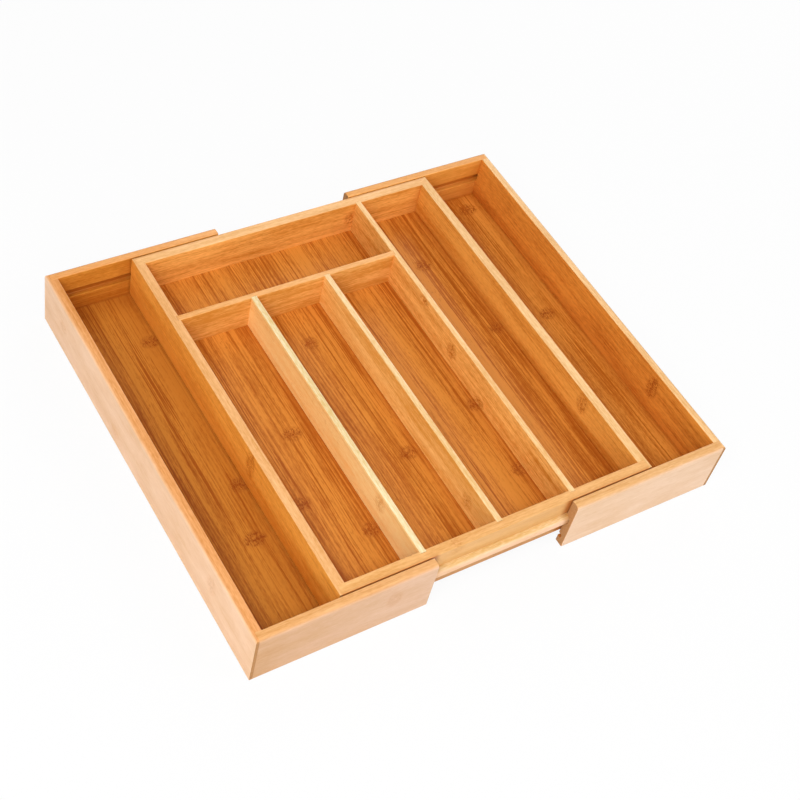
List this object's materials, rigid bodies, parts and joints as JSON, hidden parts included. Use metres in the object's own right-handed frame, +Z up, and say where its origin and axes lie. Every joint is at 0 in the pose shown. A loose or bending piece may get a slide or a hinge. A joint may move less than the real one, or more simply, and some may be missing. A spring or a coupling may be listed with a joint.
{
  "type": "extending cutlery tray",
  "caption": "Bamboo drawer tray for cutlery: a divided centre tray hangs on rails between two side trays that pull out sideways to widen it.",
  "frame": {"origin": "on the supporting surface, under the middle of the tray as it stands pulled out", "axes": "+X to the right along the way the side trays pull out, +Y to the back, +Z up"},
  "size_m": [0.406, 0.35, 0.05],
  "materials": {
    "wall_board": "pale bamboo board, sanded and clear-coated, satin",
    "floor_panel": "warm brown bamboo panel, clear-coated, satin",
    "divider_board": "thin pale bamboo board, sanded and clear-coated, satin",
    "rail_strip": "bamboo strip, sanded, satin"
  },
  "bodies": {
    "centre_tray": {"centre_left_wall": "wall_board", "centre_right_wall": "wall_board", "centre_front_wall": "wall_board", "centre_back_wall": "wall_board", "centre_floor": "floor_panel", "front_rail": "rail_strip", "back_rail": "rail_strip", "long_divider": "divider_board", "cross_divider": "divider_board", "short_divider_left": "divider_board", "short_divider_right": "divider_board"},
    "left_tray": {"left_outer_wall": "wall_board", "left_front_wall": "wall_board", "left_back_wall": "wall_board", "left_floor": "floor_panel"},
    "right_tray": {"right_outer_wall": "wall_board", "right_front_wall": "wall_board", "right_back_wall": "wall_board", "right_floor": "floor_panel"}
  },
  "joints": [
    {"name": "left_slide", "type": "slide", "parent": "centre_tray", "child": "left_tray", "axis": [1, 0, 0], "range_m": [0, 0.0596]},
    {"name": "right_slide", "type": "slide", "parent": "centre_tray", "child": "right_tray", "axis": [-1, 0, 0], "range_m": [0, 0.0596]}
  ]
}
